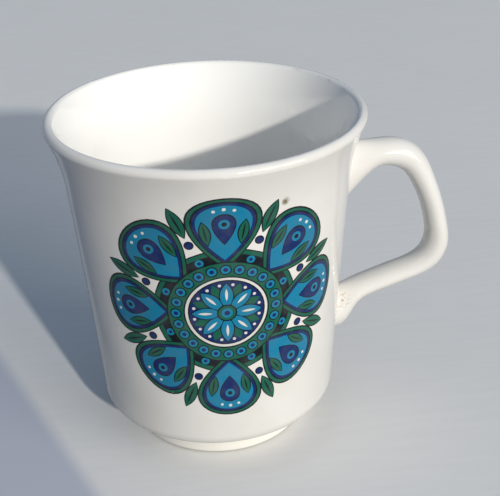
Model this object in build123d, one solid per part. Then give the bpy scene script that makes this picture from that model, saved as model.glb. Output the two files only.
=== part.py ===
from build123d import *
import math
import os

# A half-pint ceramic mug: a thrown and turned cup with a flared lip and a foot ring, a cast loop
# handle stuck on with slip at two roots, and a round printed transfer on the side of the cup.
#
# Millimetres. +Z is up and the origin is where the mug's axis meets the surface it stands on.
# The handle points along +X and the printed side faces -Y.

# ---------------------------------------------------------------- driving sizes: the cup
rim_diameter = 84.0          # over the rounded lip
mug_height = 93.5            # from the surface it stands on to the crest of the lip
lip_thickness = 2.9          # the lip is a full round
flare_reach = 4.15           # how far the lip stands out past the neck, where the flare begins
flare_height = 17.7          # from the neck up to the crest of the lip
wall_taper = 4.55            # how much narrower the wall is at the base than at the neck, in radius
wall_hollow = 0.22           # how far the long wall is hollowed between base and neck
base_wall = 3.8              # wall thickness at the floor
neck_wall = 3.2              # wall thickness at the neck
heel_radius = 4.0            # roll from the wall to the underside
floor_height = 11.8          # inside floor above the table
floor_corner = 6.5           # inside roll from the floor to the wall

# ---------------------------------------------------------------- driving sizes: the foot
foot_height = 8.5            # from the table to the underside of the heel
foot_step = 8.4              # how far the foot ring is set in from the base
foot_ring_width = 3.6        # thickness of the ring's wall
foot_recess = 7.2            # depth turned out inside the ring
foot_root = 2.0              # roll from the ring to the underside
tread_radius = 1.1           # rounded edges of the ring's tread

# ---------------------------------------------------------------- driving sizes: the handle
handle_width = 9.6           # across the oval handle, along Y
handle_drop = 12.4           # from the crest of the lip down to the top of the handle
upper_reach = 18.65          # corner of the handle's outline beyond the neck
lower_reach = 35.4           # corner of the handle's outline beyond the base
lower_corner_height = 41.75  # height of that lower corner
outer_side_radius = 80.0     # long curve of the handle's outer side between the corners
upper_corner = 11.4          # outside radius at the top
lower_corner = 11.4          # outside radius at the bottom
top_thickness = 7.55         # thickness of the upper arm
grip_inset = 7.5             # from the lower outer corner back to the finger loop's corner
grip_lift = 3.45             # and up to it
upper_inset = 4.2            # from the upper outer corner back to the finger loop's corner
loop_side_radius = 41.7      # long curve of the finger loop's side
upper_loop_corner = 7.6      # radii of the finger loop's corners
lower_loop_corner = 7.8
arm_slope = 0.34             # fall of the lower arm towards the cup, rise over run
web_reach = 7.4              # how far the upper web runs out under the arm from the neck
web_slope = 1.13             # slope of the upper web's underside
web_radius = 6.2             # roll from the web into the arm
tail_reach = 8.7             # how far the lower tail runs out under the arm from the base
tail_height = 23.35          # lowest point of the tail above the table
tail_slope = 1.9             # slope of the tail's back
tail_radius = 7.8            # roll from the arm into the tail
tail_tip = 3.0               # rounding of the tail's blunt end
root_oval_count = 5          # ovals that the handle is drawn through at its upper root
loop_oval_count = 12         # round the finger loop
lower_oval_count = 7         # and along the lower arm to its root

# ---------------------------------------------------------------- driving sizes: slip and print
slip_thickness = 0.4         # clay slip squeezed between handle and wall
slip_bead = 0.5              # how far it shows round the handle's root
transfer_margin = 7.7        # clear wall above and below the print
transfer_width = 56.7        # straight across the print, from the front
transfer_film = 0.1          # thickness of the printed film

# ---------------------------------------------------------------- places worked out from them
rim_radius = rim_diameter / 2
neck_radius = rim_radius - flare_reach
base_radius = neck_radius - wall_taper
foot_radius = base_radius - foot_step
neck_height = mug_height - flare_height
heel_top = foot_height + heel_radius
handle_top = mug_height - handle_drop


def save(node, solid):
    """Write one node's solid to the parts folder."""
    export_step(solid, os.path.join("parts", node + ".step"))


def round_corner(outline, corner, radius):
    """A flat outline with the corner nearest to a point rounded."""
    return fillet(outline.vertices().sort_by_distance(corner)[0], radius)


def turned(outline):
    """The solid that a flat outline sweeps when it is turned about the mug's axis."""
    return revolve(Plane.XZ * outline, Axis.Z)


# ---------------------------------------------------------------- lines of the cup's section
def flare_arc(start, direction, lip_centre, lip_radius):
    """Arc that leaves a wall along a direction and runs smoothly into the lip's circle.

    A positive lip radius gives the outside of the flare, a negative one its inside.
    """
    outward = Vector(direction.Y, -direction.X)
    reach = start - lip_centre
    bend = (reach.dot(reach) - lip_radius**2) / (2 * (lip_radius - reach.dot(outward)))
    away = (start + outward * bend - lip_centre).normalized()
    return TangentArc(start, lip_centre + away * lip_radius, tangent=direction)


lip_radius = lip_thickness / 2
lip_centre = Vector(rim_radius - lip_radius, mug_height - lip_radius)
base_point = Vector(base_radius, foot_height)
neck_point = Vector(neck_radius, neck_height)
outer_wall = SagittaArc(base_point, neck_point, wall_hollow)
outer_flare = flare_arc(neck_point, outer_wall % 1, lip_centre, lip_radius)

floor_point = Vector(base_radius - base_wall, floor_height)
inner_neck = neck_point - Vector(neck_wall, 0)
inner_wall = SagittaArc(floor_point, inner_neck, wall_hollow)
inner_flare = flare_arc(inner_neck, inner_wall % 1, lip_centre, -lip_radius)


def cup_section():
    """Half section of the cup: foot ring, heel, wall, lip, inside and floor."""
    ring_inside = foot_radius - foot_ring_width
    recess_corner = (ring_inside, foot_recess)
    tread_inside = (ring_inside, 0)
    tread_outside = (foot_radius, 0)
    ring_root = (foot_radius, foot_height)
    crest = lip_centre + Vector(0, lip_radius)
    lip_outside = TangentArc(outer_flare @ 1, crest, tangent=outer_flare % 1)
    lip_inside = TangentArc(crest, inner_flare @ 1, tangent=Vector(-1, 0))
    underneath = Polyline((0, foot_recess), recess_corner, tread_inside, tread_outside, ring_root, base_point)
    floor = Polyline(floor_point, (0, floor_height), (0, foot_recess))
    wall_inside = [lip_outside, lip_inside, inner_flare, inner_wall]
    section = make_face([*underneath.edges(), outer_wall, outer_flare, *wall_inside, *floor.edges()])
    for corner, radius in (
        (base_point, heel_radius),
        (ring_root, foot_root),
        (tread_outside, tread_radius),
        (tread_inside, tread_radius),
        (recess_corner, foot_root),
        (floor_point, floor_corner),
    ):
        section = round_corner(section, corner, radius)
    return section


def grown(edge, growth):
    """A wall line moved outwards, square to itself, by growth."""
    if growth == 0:
        return edge
    places = (0, 0.5, 1)
    return ThreePointArc(*(edge @ at + Vector((edge % at).Y, -(edge % at).X) * growth for at in places))


def filled_cup(growth):
    """The cup's outside as one filled solid, grown by a layer's thickness."""
    wall, flare = grown(outer_wall, growth), grown(outer_flare, growth)
    bottom, top = wall @ 0, flare @ 1
    closing = Polyline(top, (0, top.Y), (0, bottom.Y), bottom)
    return turned(make_face([wall, flare, *closing.edges()]))


# ---------------------------------------------------------------- the handle
def handle_outline():
    """Side view of the handle, with both roots run on into the cup."""
    root = base_radius - base_wall
    outer_top = (neck_radius + upper_reach, handle_top)
    outer_low = (base_radius + lower_reach, lower_corner_height)
    loop_top = (outer_top[0] - upper_inset, handle_top - top_thickness)
    loop_low = (outer_low[0] - grip_inset, lower_corner_height + grip_lift)
    web_corner = (neck_radius + web_reach, loop_top[1])
    tail_x = base_radius + tail_reach
    tail_corner = (tail_x, outer_low[1] - arm_slope * (outer_low[0] - tail_x))
    tail_end = (tail_x - (tail_corner[1] - tail_height) / tail_slope, tail_height)

    outer_side = RadiusArc(outer_top, outer_low, outer_side_radius)
    loop_side = RadiusArc(loop_low, loop_top, -loop_side_radius)
    tail = Polyline(outer_low, tail_corner, tail_end, (root, tail_height),
                    (root, loop_low[1] - arm_slope * (loop_low[0] - root)), loop_low)
    web = Polyline(loop_top, web_corner, (root, web_corner[1] - web_slope * (web_corner[0] - root)),
                   (root, handle_top), outer_top)
    outline = make_face([outer_side, *tail.edges(), loop_side, *web.edges()])
    for corner, radius in (
        (outer_top, upper_corner),
        (outer_low, lower_corner),
        (loop_top, upper_loop_corner),
        (loop_low, lower_loop_corner),
        (web_corner, web_radius),
        (tail_corner, tail_radius),
        (tail_end, tail_tip),
    ):
        outline = round_corner(outline, corner, radius)
    return outline


def spread(first, last, count):
    """Values spread evenly from first to last, both included."""
    return [first + (last - first) * step / (count - 1) for step in range(count)]


def heading(angle):
    """Unit direction in the side view, its angle measured up from +X."""
    return Vector(1, 0).rotate(Axis.Z, angle)


def handle_stations():
    """Where the handle's sections lie, from the upper root round to the lower one.

    Each is a point on the mug's side of the bar, in the side view, and the angle of the line
    that runs outwards from it across the bar.
    """
    hub = Vector(neck_radius + web_reach, (handle_top - top_thickness + lower_corner_height + grip_lift) / 2)
    upper_root = [(Vector(x, hub.Y), 90) for x in spread(neck_radius - neck_wall, hub.X, root_oval_count)]

    across_arm = math.degrees(math.atan(arm_slope)) - 90
    round_loop = [(hub, angle) for angle in spread(90, across_arm, loop_oval_count)]

    # the line from the hub square to the lower arm meets the arm's upper side here
    loop_low = Vector(base_radius + lower_reach - grip_inset, lower_corner_height + grip_lift)
    drop = hub.Y - loop_low.Y - arm_slope * (hub.X - loop_low.X)
    fall = heading(across_arm)
    arm_start = hub + fall * (drop / (arm_slope * fall.X - fall.Y))
    places = spread(arm_start.X, base_radius - base_wall, lower_oval_count)
    lower_root = [
        (Vector(x, arm_start.Y - arm_slope * (arm_start.X - x)), angle)
        for x, angle in zip(places, spread(across_arm, -90, lower_oval_count))
    ]
    return upper_root + round_loop[1:] + lower_root[1:]


def handle_bar(outline, growth):
    """The handle's side view given an oval section, grown all round by a layer's thickness."""
    ovals = []
    for point, angle in handle_stations():
        outward = heading(angle)
        reach = outline.bounding_box().diagonal
        crossing = (outline & Line(point - outward, point + outward * reach)).edges().sort_by_distance(point)[0]
        middle = crossing @ 0.5
        plane = Plane(
            origin=(middle.X, 0, middle.Y), x_dir=(outward.X, 0, outward.Y), z_dir=(outward.Y, 0, -outward.X)
        )
        half_sizes = (crossing.length / 2 + growth, handle_width / 2 + growth, 1)
        ovals.append(plane * scale(Circle(1), by=half_sizes))
    return loft(ovals)


# ---------------------------------------------------------------- build and write the nodes
os.makedirs("parts", exist_ok=True)

body = turned(cup_section())
wall_form = filled_cup(0)
slip_form = filled_cup(slip_thickness)

outline = handle_outline()
handle = handle_bar(outline, 0) - slip_form
squeezed = handle_bar(outline, slip_bead)
lower_slip_joint, upper_slip_joint = (squeezed & slip_form - wall_form).solids().sort_by(Axis.Z)

transfer_height = mug_height - heel_top - 2 * transfer_margin
transfer_centre = heel_top + transfer_margin + transfer_height / 2
patch = Plane.XZ * Pos(0, transfer_centre) * Ellipse(transfer_width / 2, transfer_height / 2)
transfer = (filled_cup(transfer_film) - wall_form) & extrude(patch, rim_radius)

save("body", body)
save("handle", handle)
save("upper_slip_joint", upper_slip_joint)
save("lower_slip_joint", lower_slip_joint)
save("transfer", transfer)
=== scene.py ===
"""A glazed half-pint mug: its glaze, the slip at the handle's roots and the printed medallion.

Lengths are metres in the mug's own frame. +Z is up, the handle points along +X and the printed
side faces -Y. The origin is where the mug's axis meets the surface it stands on.
"""

from __future__ import annotations

import logging
import math
from dataclasses import dataclass
from enum import Enum

import bmesh
import bpy
from mathutils import Matrix, Vector

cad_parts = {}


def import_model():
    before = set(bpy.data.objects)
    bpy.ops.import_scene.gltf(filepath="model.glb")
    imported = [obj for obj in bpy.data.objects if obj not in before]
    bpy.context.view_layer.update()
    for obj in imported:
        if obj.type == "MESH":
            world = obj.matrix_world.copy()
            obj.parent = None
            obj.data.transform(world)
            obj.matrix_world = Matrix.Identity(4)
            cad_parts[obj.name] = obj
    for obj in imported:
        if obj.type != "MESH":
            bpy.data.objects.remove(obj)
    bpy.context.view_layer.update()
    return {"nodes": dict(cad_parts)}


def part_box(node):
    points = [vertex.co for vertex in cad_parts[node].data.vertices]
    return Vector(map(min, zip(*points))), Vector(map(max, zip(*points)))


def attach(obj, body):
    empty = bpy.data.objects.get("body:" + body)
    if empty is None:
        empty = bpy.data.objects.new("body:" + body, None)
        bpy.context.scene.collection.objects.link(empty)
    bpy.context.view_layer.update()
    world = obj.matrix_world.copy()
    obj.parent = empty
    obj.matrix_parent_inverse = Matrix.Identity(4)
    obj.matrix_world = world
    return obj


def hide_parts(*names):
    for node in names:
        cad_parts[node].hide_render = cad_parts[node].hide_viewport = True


log = logging.getLogger("mug")

MM = 0.001
WELD = 0.001 * MM  # points closer than this are one
CREASE = 0.6  # an edge bent further than this, in radians, stays sharp
Colour = tuple[float, float, float]
Socket = bpy.types.NodeSocket


# ---------------------------------------------------------------- finishes
class NodeBoard:
    """The node tree of one finish, with short ways to place nodes and join them."""

    def __init__(self, name: str) -> None:
        """Start a material that holds only its surface shader."""
        self.material = bpy.data.materials.new(name)
        self.material.use_nodes = True
        self.colour: Socket | None = None
        self.tree = self.material.node_tree
        self.tree.nodes.clear()
        self.shader = self.place("ShaderNodeBsdfPrincipled")
        output = self.place("ShaderNodeOutputMaterial")
        self.tree.links.new(self.shader.outputs["BSDF"], output.inputs["Surface"])
        self.here = self.place("ShaderNodeTexCoord").outputs["Object"]
        axes = self.place("ShaderNodeSeparateXYZ", Vector=self.here)
        self.x, self.y, self.z = axes.outputs

    def place(self, kind: str, **values: object) -> bpy.types.Node:
        """Add one node.

        Args:
            kind: The node's type name.
            values: Its settings and inputs by name. A socket is joined, anything else is set.

        Returns:
            The new node.
        """
        node = self.tree.nodes.new(kind)
        for name, value in values.items():
            if name in node.bl_rna.properties:
                setattr(node, name, value)
            elif isinstance(value, Socket):
                self.tree.links.new(value, node.inputs[name])
            else:
                node.inputs[name].default_value = value
        return node

    def maths(self, operation: str, *terms: Socket | float) -> Socket:
        """Join one to three terms by an arithmetic operation.

        Args:
            operation: The operation's name, such as "ADD".
            terms: Sockets or numbers, in order.

        Returns:
            The socket that holds the result.
        """
        node = self.place("ShaderNodeMath", operation=operation)
        for slot, term in zip(node.inputs, terms):
            if isinstance(term, Socket):
                self.tree.links.new(term, slot)
            else:
                slot.default_value = term
        return node.outputs[0]

    def between(self, value: Socket, start: float, end: float) -> Socket:
        """A smooth step from 0 where value is start to 1 where it is end."""
        node = self.place("ShaderNodeMapRange", interpolation_type="SMOOTHSTEP", Value=value)
        node.inputs["From Min"].default_value = start
        node.inputs["From Max"].default_value = end
        return node.outputs["Result"]

    def cloud(self, size: float, detail: float = 2.0) -> Socket:
        """Soft noise from 0 to 1 whose patches are about size across."""
        node = self.place("ShaderNodeTexNoise", Vector=self.here, Scale=1.0 / size, Detail=detail)
        return node.outputs["Fac"]

    def flecks(self, spacing: float, radius: float, share: float) -> Socket:
        """Sparse round flecks.

        Args:
            spacing: Distance between the places where a fleck may fall.
            radius: Radius of the largest fleck.
            share: Part of those places that have one.

        Returns:
            A mask that is 1 inside a fleck.
        """
        cells = self.place("ShaderNodeTexVoronoi", Vector=self.here, Scale=1.0 / spacing)
        pick = self.place("ShaderNodeSeparateColor", Color=cells.outputs["Color"])
        chosen = self.maths("LESS_THAN", pick.outputs[0], share)
        reach = self.maths("MULTIPLY", pick.outputs[1], radius / spacing)
        near = self.maths("SUBTRACT", reach, cells.outputs["Distance"])
        return self.maths("MULTIPLY", chosen, self.between(near, 0.0, 0.25 * radius / spacing))

    def blend(self, factor: Socket, under: Socket | Colour, over: Socket | Colour) -> Socket:
        """Lay one colour over another by a mask.

        Args:
            factor: The mask, 1 where the upper colour shows.
            under: The colour below.
            over: The colour above.

        Returns:
            The socket that holds the mixed colour.
        """
        node = self.place("ShaderNodeMix", data_type="RGBA")
        self.tree.links.new(factor, node.inputs[0])
        for slot, colour in ((node.inputs[6], under), (node.inputs[7], over)):
            if isinstance(colour, Socket):
                self.tree.links.new(colour, slot)
            else:
                slot.default_value = (*colour, 1.0)
        return node.outputs[2]

    def near(self, place: tuple[float, float, float], reach: float, edge: float = 0.0) -> Socket:
        """A round mask about a place, 1 at its heart and 0 at reach, with its slope ending at edge."""
        gap = self.place("ShaderNodeVectorMath", operation="DISTANCE")
        self.tree.links.new(self.here, gap.inputs[0])
        gap.inputs[1].default_value = place
        return self.between(gap.outputs["Value"], reach, edge)

    def relief(self, height: Socket, depth: float) -> None:
        """Give the surface a fine relief, depth being its full height."""
        bump = self.place("ShaderNodeBump", Height=height, Distance=depth)
        self.tree.links.new(bump.outputs["Normal"], self.shader.inputs["Normal"])


@dataclass(frozen=True)
class Glaze:
    """Warm white gloss glaze over earthenware."""

    name: str
    colour: Colour = (0.84, 0.815, 0.782)
    pooled: Colour = (0.80, 0.775, 0.735)
    roughness: float = 0.11
    ripple: float = 0.05 * MM
    speck: Colour = (0.10, 0.075, 0.05)

    def coat(self) -> NodeBoard:
        """Lay the plain glaze, with its slow colour drift, pinholes and gentle ripple."""
        board = NodeBoard(self.name)
        drift = board.between(board.cloud(14 * MM, 3.0), 0.35, 0.75)
        ground = board.blend(drift, self.colour, self.pooled)
        board.colour = board.blend(board.flecks(9 * MM, 0.22 * MM, 0.16), ground, self.speck)
        board.shader.inputs["IOR"].default_value = 1.52
        gloss = self.place_gloss(board)
        board.tree.links.new(gloss, board.shader.inputs["Roughness"])
        peel = board.maths("MULTIPLY", board.cloud(2.2 * MM, 1.0), 0.12)
        board.relief(board.maths("ADD", board.cloud(17 * MM, 1.0), peel), self.ripple)
        return board

    def place_gloss(self, board: NodeBoard) -> Socket:
        """Roughness that wanders a little, as a used glaze does."""
        wear = board.maths("MULTIPLY", board.cloud(5 * MM, 4.0), 0.08)
        return board.maths("ADD", wear, self.roughness - 0.04)

    def finish(self, board: NodeBoard) -> bpy.types.Material:
        """Join the last colour to the shader and hand the material over."""
        board.tree.links.new(board.colour, board.shader.inputs["Base Color"])
        return board.material


@dataclass(frozen=True)
class CupGlaze(Glaze):
    """The glaze on the cup.

    It is whiter inside, partly in its own tone and partly as painted light for the brightly lit inside.
    It is creamier on the foot, and lighter there as painted light from the floor, and bare on the
    tread, with nicks in the lip and one chip.
    """

    # painted light: whiter than the outside glaze, partly its own tone and partly standing for the
    # brightly lit inside
    inside: Colour = (0.95, 0.935, 0.905)
    # painted light: the foot's cream is lighter than the wall's glaze, for light the floor throws up;
    # its creamy tone is its own
    cream_and_painted_light: Colour = (0.94, 0.91, 0.84)
    biscuit: Colour = (0.62, 0.52, 0.40)
    nick: Colour = (0.34, 0.26, 0.18)
    chip: Colour = (0.17, 0.138, 0.062)
    chip_place: tuple[float, float, float] = (15.1 * MM, -35.9 * MM, 81.9 * MM)
    chip_reach: float = 1.5 * MM
    floor_height: float = 9.5 * MM
    wall_middle: float = 31.5 * MM
    wall_slope: float = 0.067
    neck_height: float = 75.8 * MM
    flare_bend: float = 12.9
    lip_height: float = 92.6 * MM

    def inner_side(self, board: NodeBoard, away: Socket) -> Socket:
        """A mask of the cup's inside, parted from the outside along the middle of the wall."""
        climb = board.maths("SUBTRACT", board.z, self.floor_height)
        middle = board.maths("MULTIPLY_ADD", climb, self.wall_slope, self.wall_middle)
        flare = board.maths("MAXIMUM", board.maths("SUBTRACT", board.z, self.neck_height), 0.0)
        square = board.maths("MULTIPLY", flare, flare)
        middle = board.maths("MULTIPLY_ADD", square, self.flare_bend, middle)
        within = board.between(board.maths("SUBTRACT", away, middle), 1.2 * MM, -1.2 * MM)
        return board.maths("MULTIPLY", within, board.between(climb, 0.0, 0.5 * MM))

    def make(self) -> bpy.types.Material:
        """Build the cup's material."""
        board = self.coat()
        across, along = (board.maths("MULTIPLY", part, part) for part in (board.x, board.y))
        away = board.maths("SQRT", board.maths("ADD", across, along))
        foot = board.between(board.z, 12.5 * MM, 7.0 * MM)
        # painted light: the inner wall takes the whiter glaze
        board.colour = board.blend(self.inner_side(board, away), board.colour, self.inside)
        # painted light on the foot: the lighter cream below the heel
        board.colour = board.blend(foot, board.colour, self.cream_and_painted_light)
        board.colour = board.blend(board.flecks(12 * MM, 0.3 * MM, 0.2), board.colour, self.speck)
        ragged = board.between(board.cloud(0.8 * MM, 2.0), 0.30, 0.55)
        spot = board.near(self.chip_place, self.chip_reach, self.chip_reach / 3)
        chipped = board.maths("MULTIPLY", spot, ragged)
        board.colour = board.blend(board.maths("MULTIPLY", chipped, 0.9), board.colour, self.chip)
        crest = board.between(board.z, self.lip_height - 0.4 * MM, self.lip_height)
        nicks = board.maths("MULTIPLY", crest, board.flecks(1.8 * MM, 0.3 * MM, 0.25))
        board.colour = board.blend(board.maths("MULTIPLY", nicks, 0.6), board.colour, self.nick)
        tread = board.between(board.z, 0.45 * MM, 0.2 * MM)
        board.colour = board.blend(tread, board.colour, self.biscuit)
        gloss = board.shader.inputs["Roughness"].links[0].from_socket
        rough = board.maths("MAXIMUM", gloss, board.maths("MULTIPLY", tread, 0.75))
        board.tree.links.new(rough, board.shader.inputs["Roughness"])
        return self.finish(board)


@dataclass(frozen=True)
class HandleGlaze(Glaze):
    """The glaze on the handle and its roots, stained where dirt has lodged under the lower root."""

    # painted shade: a little darker than the cup's glaze, for the handle's shaded sides
    colour: Colour = (0.825, 0.805, 0.772)
    stain: Colour = (0.52, 0.32, 0.16)
    stain_place: tuple[float, float, float] = (35.8 * MM, -4.2 * MM, 33.6 * MM)
    stain_reach: float = 4.6 * MM

    def make(self) -> bpy.types.Material:
        """Build the handle's material."""
        board = self.coat()
        spots = board.between(board.cloud(0.75 * MM, 3.0), 0.50, 0.68)
        stained = board.near(self.stain_place, self.stain_reach)
        dirt = board.maths("MULTIPLY", board.maths("MULTIPLY", stained, spots), 0.8)
        board.colour = board.blend(dirt, board.colour, self.stain)
        return self.finish(board)


@dataclass(frozen=True)
class Enamel:
    """A printed colour fired on the glaze, with pinholes where the glaze shows through."""

    name: str
    colour: Colour
    bare: Colour = (0.78, 0.76, 0.72)
    roughness: float = 0.16
    sheen_index: float = 1.3

    def make(self) -> bpy.types.Material:
        """Build the ink's material."""
        board = NodeBoard(self.name)
        thin: Colour = tuple(0.82 * part + 0.03 for part in self.colour)
        ground = board.blend(board.between(board.cloud(4 * MM, 4.0), 0.3, 0.75), self.colour, thin)
        colour = board.blend(board.flecks(5 * MM, 0.16 * MM, 0.22), ground, self.bare)
        board.tree.links.new(colour, board.shader.inputs["Base Color"])
        wear = board.maths("MULTIPLY", board.cloud(3 * MM, 3.0), 0.12)
        rough = board.maths("ADD", wear, self.roughness - 0.06)
        board.tree.links.new(rough, board.shader.inputs["Roughness"])
        board.shader.inputs["IOR"].default_value = self.sheen_index
        board.relief(board.cloud(0.5 * MM, 2.0), 0.006 * MM)
        return board.material


class Ink(Enum):
    """The printed colours."""

    KEYLINE = Enamel("ink_keyline", (0.003, 0.006, 0.010))
    TURQUOISE = Enamel("ink_turquoise", (0.004, 0.215, 0.385))
    GREEN = Enamel("ink_green", (0.004, 0.115, 0.068))
    NAVY = Enamel("ink_navy", (0.004, 0.020, 0.125))
    WHITE = Enamel("ink_white", (0.78, 0.76, 0.72))


# ---------------------------------------------------------------- the cup's wall
@dataclass(frozen=True)
class WallLine:
    """The outside line of the cup's wall and of the flare above it."""

    base_radius: float = 33.3 * MM
    base_height: float = 8.5 * MM
    neck_radius: float = 37.85 * MM
    neck_height: float = 75.8 * MM
    hollow: float = 0.22 * MM
    lip_radius: float = 1.45 * MM
    lip_centre: tuple[float, float] = (40.55 * MM, 92.05 * MM)

    def flare(self) -> tuple[Vector, float]:
        """Centre and radius of the flare's arc, which leaves the wall and meets the lip smoothly.

        Returns:
            The centre as (radius, height) and the arc's radius.
        """
        rise = Vector((self.neck_radius - self.base_radius, self.neck_height - self.base_height))
        turn = 2 * math.atan(2 * self.hollow / rise.length)
        heading = Matrix.Rotation(-turn, 2) @ rise.normalized()
        outward = Vector((heading.y, -heading.x))
        neck = Vector((self.neck_radius, self.neck_height))
        reach = neck - Vector(self.lip_centre)
        gap = self.lip_radius - reach.dot(outward)
        bend = (reach.length_squared - self.lip_radius**2) / (2 * gap)
        return neck + outward * bend, bend

    def radius(self, height: float) -> float:
        """The cup's outside radius.

        Args:
            height: Height above the table, between the heel and the lip.

        Returns:
            The radius there.
        """
        if height > self.neck_height:
            centre, bend = self.flare()
            return centre.x - math.sqrt(bend**2 - (height - centre.y) ** 2)
        along = (height - self.base_height) / (self.neck_height - self.base_height)
        straight = self.base_radius + along * (self.neck_radius - self.base_radius)
        return straight - 4 * self.hollow * along * (1 - along)

    def wrap(self, flat: Vector, centre_height: float) -> Vector:
        """Carry a point of a flat sheet onto the wall.

        Args:
            flat: Across, up and out from the sheet's centre.
            centre_height: Height at which that centre sits, facing -Y.

        Returns:
            The point on the cup.
        """
        turn = flat.x / self.radius(centre_height)
        height = centre_height + flat.y
        out = self.radius(height) + flat.z
        return Vector((out * math.sin(turn), -out * math.cos(turn), height))


def finished_piece(
    name: str, sheet: bmesh.types.BMesh, finish: bpy.types.Material
) -> bpy.types.Object:
    """Turn a mesh under work into a piece that rides on the mug.

    Args:
        name: The piece's name.
        sheet: Its mesh, which is freed.
        finish: Its material.

    Returns:
        The new object.
    """
    bmesh.ops.recalc_face_normals(sheet, faces=sheet.faces[:])
    for face in sheet.faces:
        face.smooth = True
    for edge in sheet.edges:
        edge.smooth = edge.calc_face_angle(0.0) < CREASE
    mesh = bpy.data.meshes.new(name)
    sheet.to_mesh(mesh)
    sheet.free()
    piece = bpy.data.objects.new(name, mesh)
    bpy.context.scene.collection.objects.link(piece)
    mesh.materials.append(finish)
    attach(piece, "root")
    return piece


# ---------------------------------------------------------------- the printed medallion
class Form(Enum):
    """The outlines that the medallion is drawn with."""

    DISC = "disc"
    LEAF = "leaf"
    DROP = "drop"
    BAND = "band"

    def shaped(self, point: Vector) -> Vector:
        """Move a point of the unit circle onto this outline, of length and width 2, tip at -Y."""
        if self is Form.LEAF:
            return Vector((math.copysign(point.x**2, point.x), point.y, 0.0))
        if self is Form.DROP:
            return Vector((1.299 * point.x * math.sqrt(max(0.0, (1 + point.y) / 2)), point.y, 0.0))
        return Vector(point)


@dataclass(frozen=True)
class Motif:
    """One printed figure, repeated round the medallion.

    Lengths are millimetres on the flat sheet. The level is the film's place in the pile, the reach is
    how far out the figure's middle lies, and the offset turns it by a part of the step between repeats.
    The border narrows it all round, and a paired figure has a twin on the other side of its petal.
    """

    name: str
    form: Form
    ink: Ink
    level: int
    length: float
    width: float
    reach: float = 0.0
    count: int = 1
    offset: float = 0.0
    border: float = 0.0
    paired: bool = False

    def flat(self) -> bmesh.types.BMesh:
        """Draw the figure and its repeats on a flat sheet.

        Returns:
            The faces, in metres, about the medallion's centre.
        """
        sheet = bmesh.new()
        if self.form is Form.BAND:
            edges = (self.reach - self.width / 2, self.reach + self.width / 2)
            ends = [sheet.verts.new((0.0, edge * MM, 0.0)) for edge in edges]
            sheet.edges.new(ends)
            bmesh.ops.spin(sheet, geom=sheet.verts[:] + sheet.edges[:], cent=(0, 0, 0), axis=(0, 0, 1),
                           dvec=(0, 0, 0), angle=math.tau, steps=120, use_merge=True)
            return sheet
        half = Vector((self.width / 2 - self.border, self.length / 2 - self.border, 0.0)) * MM
        step = math.tau / self.count
        for side in (1, -1) if self.paired else (1,):
            outline = bmesh.ops.create_circle(sheet, cap_ends=True, segments=40, radius=1.0)["verts"]
            for vertex in outline:
                point = self.form.shaped(vertex.co)
                vertex.co = Vector((point.x * half.x, point.y * half.y + self.reach * MM, 0.0))
            turn = Matrix.Rotation(side * self.offset * step, 3, "Z")
            bmesh.ops.rotate(sheet, verts=outline, matrix=turn)
        bmesh.ops.remove_doubles(sheet, verts=sheet.verts[:], dist=WELD)
        if self.count > 1:
            bmesh.ops.spin(sheet, geom=sheet.faces[:], cent=(0, 0, 0), axis=(0, 0, 1), dvec=(0, 0, 0),
                           angle=math.tau - step, steps=self.count - 1, use_duplicate=True)
        return sheet


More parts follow.
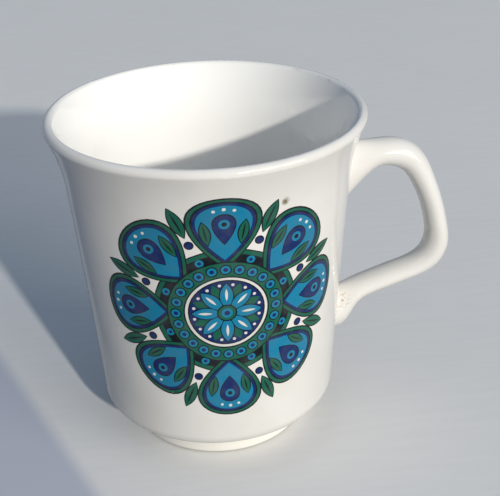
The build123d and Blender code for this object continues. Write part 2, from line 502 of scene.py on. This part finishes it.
@dataclass(frozen=True)
class Medallion:
    """The round print on the side of the cup, built up in fired films.

    Every film starts at the root, a little inside the wall, and ends at its level's height over it.
    The panels that it is cut into follow the curve of the wall.
    """

    wall: WallLine = WallLine()
    centre_height: float = 53.05 * MM
    radius: float = 32.8
    panel: float = 1.6 * MM
    root: float = -0.05 * MM
    lift: float = 0.035 * MM
    film: float = 0.02 * MM
    cut_shift: float = 0.37

    def motifs(self) -> list[Motif]:
        """List the figures from the rim of the medallion to its centre, in millimetres."""
        key, blue, green, navy, white = Ink.KEYLINE, Ink.TURQUOISE, Ink.GREEN, Ink.NAVY, Ink.WHITE
        leaf, drop, disc, band = Form.LEAF, Form.DROP, Form.DISC, Form.BAND
        return [
            Motif("ground", disc, key, 0, 37.0, 37.0),
            Motif("ground_edge", band, green, 1, 0, 1.1, 17.6),
            Motif("ground_dots", disc, blue, 1, 2.1, 2.1, 15.9, 8, 0.5),
            Motif("ground_dot_eyes", disc, navy, 2, 0.9, 0.9, 15.9, 8, 0.5),
            Motif("sprig_keylines", leaf, key, 2, 9.2, 3.4, 28.0, 8, 0.5),
            Motif("sprigs", leaf, green, 3, 9.2, 3.4, 28.0, 8, 0.5, 0.3),
            Motif("sprig_veins", leaf, key, 4, 6.2, 0.5, 28.0, 8, 0.5),
            Motif("sprig_bead_keylines", disc, key, 2, 2.3, 2.3, 21.4, 8, 0.5),
            Motif("sprig_beads", disc, navy, 3, 2.3, 2.3, 21.4, 8, 0.5, 0.3),
            Motif("petal_keylines", drop, key, 2, 20.0, 17.8, 22.8, 8),
            Motif("petal_borders", drop, green, 3, 20.0, 17.8, 22.8, 8, 0.0, 0.4),
            Motif("petal_lining_keylines", drop, key, 4, 17.6, 15.3, 23.0, 8),
            Motif("petal_linings", drop, navy, 5, 17.6, 15.3, 23.0, 8, 0.0, 0.4),
            Motif("petals", drop, blue, 6, 15.2, 12.9, 23.1, 8),
            Motif("petal_leaf_keylines", leaf, key, 7, 7.0, 2.8, 23.4, 8, 0.24, paired=True),
            Motif("petal_leaves", leaf, green, 8, 7.0, 2.8, 23.4, 8, 0.24, 0.3, True),
            Motif("petal_leaf_veins", leaf, key, 9, 4.6, 0.4, 23.4, 8, 0.24, paired=True),
            Motif("eye_keylines", drop, key, 7, 8.6, 5.6, 24.0, 8),
            Motif("eyes", drop, navy, 8, 8.6, 5.6, 24.0, 8, 0.0, 0.3),
            Motif("eye_rings", disc, blue, 9, 2.6, 2.6, 25.4, 8),
            Motif("eye_pupils", disc, key, 10, 1.2, 1.2, 25.4, 8),
            Motif("petal_dots", disc, white, 7, 0.9, 0.9, 29.6, 8),
            Motif("petal_side_dots", disc, white, 7, 0.8, 0.8, 29.2, 8, 0.1, paired=True),
            Motif("collar_keyline", band, key, 7, 0, 4.6, 12.7),
            Motif("collar", band, green, 8, 0, 3.9, 12.7),
            Motif("bead_keylines", disc, key, 9, 2.9, 2.9, 12.7, 24),
            Motif("beads", disc, blue, 10, 2.9, 2.9, 12.7, 24, 0.0, 0.3),
            Motif("bead_eyes", disc, navy, 11, 1.1, 1.1, 12.7, 24),
            Motif("halo", disc, white, 1, 21.4, 21.4),
            Motif("heart_keyline", disc, key, 2, 19.4, 19.4),
            Motif("heart", disc, navy, 3, 18.7, 18.7),
            Motif("sepals", leaf, green, 4, 6.6, 2.6, 5.7, 8, 0.5),
            Motif("sepal_beads", disc, white, 4, 0.8, 0.8, 8.3, 16, 0.5),
            Motif("blade_keylines", leaf, key, 5, 8.0, 3.8, 5.0, 8),
            Motif("blades", leaf, blue, 6, 8.0, 3.8, 5.0, 8, 0.0, 0.3),
            Motif("blade_veins", leaf, white, 7, 3.6, 0.7, 5.4, 8),
            Motif("boss_keyline", disc, key, 8, 5.0, 5.0),
            Motif("boss", disc, green, 9, 5.0, 5.0, border=0.35),
            Motif("boss_ring", disc, blue, 10, 2.8, 2.8),
            Motif("boss_eye", disc, navy, 11, 1.4, 1.4),
        ]

    def fired(self, motif: Motif) -> bmesh.types.BMesh:
        """Cut a flat figure into panels, give it its film's thickness and wrap it on the wall.

        Args:
            motif: The figure.

        Returns:
            The closed film on the wall.
        """
        sheet = motif.flat()
        steps = math.ceil(self.radius * MM / self.panel)
        for normal in ((1, 0, 0), (0, 1, 0)):
            for step in range(-steps, steps + 1):
                cut = Vector(normal) * (step + self.cut_shift) * self.panel
                bmesh.ops.bisect_plane(sheet, geom=sheet.verts[:] + sheet.edges[:] + sheet.faces[:],
                                       plane_co=cut, plane_no=normal)
        raised = bmesh.ops.extrude_face_region(sheet, geom=sheet.faces[:], use_keep_orig=True)["geom"]
        top = [part for part in raised if isinstance(part, bmesh.types.BMVert)]
        thickness = self.lift + self.film * motif.level - self.root
        bmesh.ops.translate(sheet, verts=top, vec=(0, 0, thickness))
        for vertex in sheet.verts:
            vertex.co = self.wall.wrap(vertex.co + Vector((0, 0, self.root)), self.centre_height)
        return sheet

    def print_on(self) -> None:
        """Make every film of the medallion, which together stand for the transfer."""
        finishes = {ink: ink.value.make() for ink in Ink}
        for motif in self.motifs():
            film = self.fired(motif)
            piece = finished_piece("print_" + motif.name, film, finishes[motif.ink])
            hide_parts("transfer")
            log.info("%s: %d faces", piece.name, len(piece.data.polygons))


# ---------------------------------------------------------------- the cup, the handle and its roots
@dataclass(frozen=True)
class RootFillet:
    """Slip wiped smooth into the corner between a root of the handle and the wall."""

    name: str
    node: str
    wall: WallLine = WallLine()
    margin: float = 3.2 * MM
    depth: float = 3.0 * MM
    voxel: float = 0.2 * MM
    rounds: int = 60
    sink: float = 0.05 * MM

    def lump(self, nodes: dict[str, bpy.types.Object]) -> bmesh.types.BMesh:
        """Gather the root's end of the handle, its slip and a block of the wall behind them.

        Args:
            nodes: The mug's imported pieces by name.

        Returns:
            The three, overlapping, in one mesh.
        """
        low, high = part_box(self.node)
        lump = bmesh.new()
        lump.from_mesh(nodes["handle"].data)
        bmesh.ops.remove_doubles(lump, verts=lump.verts[:], dist=WELD)
        for point, normal in (
            (Vector((high.x + self.margin, 0, 0)), (1, 0, 0)),
            (Vector((0, 0, low.z - self.margin)), (0, 0, -1)),
            (Vector((0, 0, high.z + self.margin)), (0, 0, 1)),
        ):
            cut = bmesh.ops.bisect_plane(lump, geom=lump.verts[:] + lump.edges[:] + lump.faces[:],
                                         plane_co=point, plane_no=normal, clear_outer=True)
            rim = [part for part in cut["geom_cut"] if isinstance(part, bmesh.types.BMEdge)]
            bmesh.ops.holes_fill(lump, edges=rim)
        lump.from_mesh(nodes[self.node].data)
        block = bmesh.new()
        centre = (low.z + high.z) / 2
        half = Vector((high.y + self.margin, (high.z - low.z) / 2 + self.margin, 0))
        bmesh.ops.create_grid(block, x_segments=40, y_segments=60, size=1.0)
        back = bmesh.ops.extrude_face_region(block, geom=block.faces[:], use_keep_orig=True)["geom"]
        behind = [part for part in back if isinstance(part, bmesh.types.BMVert)]
        bmesh.ops.translate(block, verts=behind, vec=(0, 0, -self.depth))
        for vertex in block.verts:
            flat = Vector((vertex.co.x * half.x, vertex.co.y * half.y, vertex.co.z))
            vertex.co = Matrix.Rotation(math.pi / 2, 3, "Z") @ self.wall.wrap(flat, centre)
        bmesh.ops.recalc_face_normals(block, faces=block.faces[:])
        spare = bpy.data.meshes.new("block")
        block.to_mesh(spare)
        block.free()
        lump.from_mesh(spare)
        bpy.data.meshes.remove(spare)
        return lump

    def wipe(self, nodes: dict[str, bpy.types.Object], finish: bpy.types.Material) -> None:
        """Melt the lump into one skin, smooth it and leave only its fillet proud of the clay.

        Args:
            nodes: The mug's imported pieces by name.
            finish: The glaze over it.
        """
        mesh = bpy.data.meshes.new(self.name + "_lump")
        lump = self.lump(nodes)
        lump.to_mesh(mesh)
        lump.free()
        work = bpy.data.objects.new(mesh.name, mesh)
        bpy.context.scene.collection.objects.link(work)
        melt = work.modifiers.new("melt", "REMESH")
        melt.mode = "VOXEL"
        melt.voxel_size = self.voxel
        rub = work.modifiers.new("rub", "SMOOTH")
        rub.factor = 0.5
        rub.iterations = self.rounds
        melted = work.evaluated_get(bpy.context.evaluated_depsgraph_get())
        ready = bpy.data.meshes.new_from_object(melted)
        bpy.data.objects.remove(work)
        skin = bmesh.new()
        skin.from_mesh(ready)
        bpy.data.meshes.remove(ready)
        skin.normal_update()
        for vertex, normal in [(vertex, vertex.normal.copy()) for vertex in skin.verts]:
            vertex.co -= normal * self.sink
        piece = finished_piece(self.name, skin, finish)
        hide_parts(self.node)
        log.info("%s: %d faces", piece.name, len(piece.data.polygons))


@dataclass(frozen=True)
class Mug:
    """The cup and its handle, glazed, with slip at both roots."""

    cup_glaze: CupGlaze = CupGlaze("cup_glaze_white")
    handle_glaze: HandleGlaze = HandleGlaze("handle_glaze_white")

    def dress(self, nodes: dict[str, bpy.types.Object]) -> None:
        """Glaze the packed clay and wipe the slip into its corners.

        Args:
            nodes: The mug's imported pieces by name.
        """
        handle_finish = self.handle_glaze.make()
        for name, finish in (("body", self.cup_glaze.make()), ("handle", handle_finish)):
            nodes[name].data.materials[0] = finish
            log.info("%s: glazed", name)
        for end in ("upper", "lower"):
            RootFillet(end + "_root_fillet", end + "_slip_joint").wipe(nodes, handle_finish)


# ---------------------------------------------------------------- the studio
@dataclass(frozen=True)
class Studio:
    """A pale floor with a painted shade on one side, the light and the camera."""

    camera_place: tuple[float, float, float] = (-19.2 * MM, -243.1 * MM, 181.45 * MM)
    yaw: float = 0.122
    pitch: float = 0.489
    roll: float = -0.031
    lens: float = 71.15
    floor_colour: Colour = (0.89, 0.885, 0.88)
    floor_bounce: Colour = (0.27, 0.275, 0.28)
    floor_half: float = 1.6
    floor_grain: Colour = (0.60, 0.60, 0.62)
    grain_size: float = 2.5 * MM
    grain_stretch: float = 0.12
    # painted shade on the floor: its tint, the light it throws, its side, start, edge and reach
    shade_tint: Colour = (0.65, 0.68, 0.79)
    shade_bounce: Colour = (0.08, 0.083, 0.085)
    shade_side: tuple[float, float, float] = (-0.915, -0.403, 0.0)
    shade_start: float = 45.5 * MM
    shade_edge: float = 6.0 * MM
    shade_reach: float = 450.0 * MM
    sky_colour: Colour = (0.56, 0.72, 0.96)
    sky_strength: float = 0.285
    key_turn: float = math.radians(-70.0)
    key_rise: float = math.radians(20.5)
    key_spread: float = math.radians(2.0)
    key_strength: float = 2.23
    key_colour: Colour = (1.0, 0.96, 0.88)
    fill_place: tuple[float, float, float] = (2.34, -2.38, 1.50)
    fill_size: float = 2.4
    fill_power: float = 50.0
    fill_colour: Colour = (1.0, 0.97, 0.89)

    def set_camera(self) -> None:
        """Stand the camera up and make it the scene's own."""
        level_reach = math.cos(self.pitch)
        forward = Vector((math.sin(self.yaw) * level_reach, math.cos(self.yaw) * level_reach,
                          -math.sin(self.pitch)))
        level = Vector((math.cos(self.yaw), -math.sin(self.yaw), 0.0))
        above = level.cross(forward)
        right = level * math.cos(self.roll) + above * math.sin(self.roll)
        up = above * math.cos(self.roll) - level * math.sin(self.roll)
        camera = bpy.data.objects.new("camera", bpy.data.cameras.new("camera"))
        camera.data.lens = self.lens
        camera.data.sensor_width = 36.0
        camera.data.clip_start = 0.01
        turned = Matrix((right, up, -forward)).transposed().to_4x4()
        camera.matrix_world = Matrix.Translation(self.camera_place) @ turned
        bpy.context.scene.collection.objects.link(camera)
        bpy.context.scene.camera = camera

    def dimmed(self) -> Colour:
        """The floor's colour as it looks in the painted shade."""
        return tuple(part * tint for part, tint in zip(self.floor_colour, self.shade_tint))

    def lay_floor(self) -> None:
        """Lay the floor that the mug stands on, with a painted shade on its left as of something out of
        view.
        """
        board = NodeBoard("floor_pale")
        mottled = board.blend(board.cloud(60 * MM, 4.0), self.floor_colour,
                              tuple(part * 0.95 for part in self.floor_colour))
        lengthwise = board.place("ShaderNodeVectorMath", operation="MULTIPLY")
        board.tree.links.new(board.here, lengthwise.inputs[0])
        lengthwise.inputs[1].default_value = (self.grain_stretch, 1.0, 1.0)
        grain = board.place("ShaderNodeTexNoise", Vector=lengthwise.outputs[0],
                            Scale=1.0 / self.grain_size, Detail=3.0)
        shade = board.between(grain.outputs["Fac"], 0.25, 0.80)
        mottled = board.blend(board.maths("MULTIPLY", shade, 0.10), mottled, self.floor_grain)
        # painted shade: beyond a line on the mug's left the floor is darker and throws less light
        aside = board.place("ShaderNodeVectorMath", operation="DOT_PRODUCT")
        board.tree.links.new(board.here, aside.inputs[0])
        aside.inputs[1].default_value = self.shade_side
        close = board.near((0.0, 0.0, 0.0), self.shade_reach, self.shade_reach / 3)
        start = self.shade_start
        beyond = board.between(aside.outputs["Value"], start, start + self.shade_edge)
        shaded = board.maths("MULTIPLY", close, beyond)
        path = board.place("ShaderNodeLightPath").outputs
        seen = board.maths("MAXIMUM", path["Is Camera Ray"], path["Is Glossy Ray"])
        # the floor throws less light on the mug than it shows
        lit = board.blend(seen, self.floor_bounce, mottled)
        dim = board.blend(seen, self.shade_bounce, self.dimmed())
        board.colour = board.blend(shaded, lit, dim)
        board.tree.links.new(board.colour, board.shader.inputs["Base Color"])
        board.shader.inputs["Roughness"].default_value = 0.8
        board.shader.inputs["Specular IOR Level"].default_value = 0.0
        sheet = bmesh.new()
        bmesh.ops.create_grid(sheet, x_segments=1, y_segments=1, size=self.floor_half)
        mesh = bpy.data.meshes.new("floor")
        sheet.to_mesh(mesh)
        sheet.free()
        mesh.materials.append(board.material)
        floor = bpy.data.objects.new("floor", mesh)
        bpy.context.scene.collection.objects.link(floor)

    def light(self) -> None:
        """Light the mug with one low key lamp, a broad soft one beside it and a blue sky."""
        key = bpy.data.lights.new("key", "SUN")
        key.angle = self.key_spread
        key.energy = self.key_strength
        key.color = self.key_colour
        toward = Vector((math.cos(self.key_turn) * math.cos(self.key_rise),
                         math.sin(self.key_turn) * math.cos(self.key_rise), math.sin(self.key_rise)))
        lamp = bpy.data.objects.new("key", key)
        lamp.rotation_euler = toward.to_track_quat("Z", "Y").to_euler()
        lamp.location = toward
        bpy.context.scene.collection.objects.link(lamp)
        fill = bpy.data.lights.new("fill", "AREA")
        fill.size = self.fill_size
        fill.energy = self.fill_power
        fill.color = self.fill_colour
        lamp = bpy.data.objects.new("fill", fill)
        lamp.location = self.fill_place
        lamp.rotation_euler = Vector(self.fill_place).to_track_quat("Z", "Y").to_euler()
        bpy.context.scene.collection.objects.link(lamp)
        world = bpy.data.worlds.new("sky")
        world.use_nodes = True
        sky = world.node_tree.nodes["Background"]
        sky.inputs["Color"].default_value = (*self.sky_colour, 1.0)
        sky.inputs["Strength"].default_value = self.sky_strength
        bpy.context.scene.world = world
        bpy.context.scene.view_settings.view_transform = "Standard"

    def open(self) -> None:
        """Set up everything round the mug."""
        self.set_camera()
        self.lay_floor()
        self.light()


def main() -> None:
    """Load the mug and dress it."""
    logging.basicConfig(level=logging.INFO, format="%(name)s: %(message)s")
    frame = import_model()
    Studio().open()
    Mug().dress(frame["nodes"])
    Medallion().print_on()


if __name__ == "__main__":
    main()
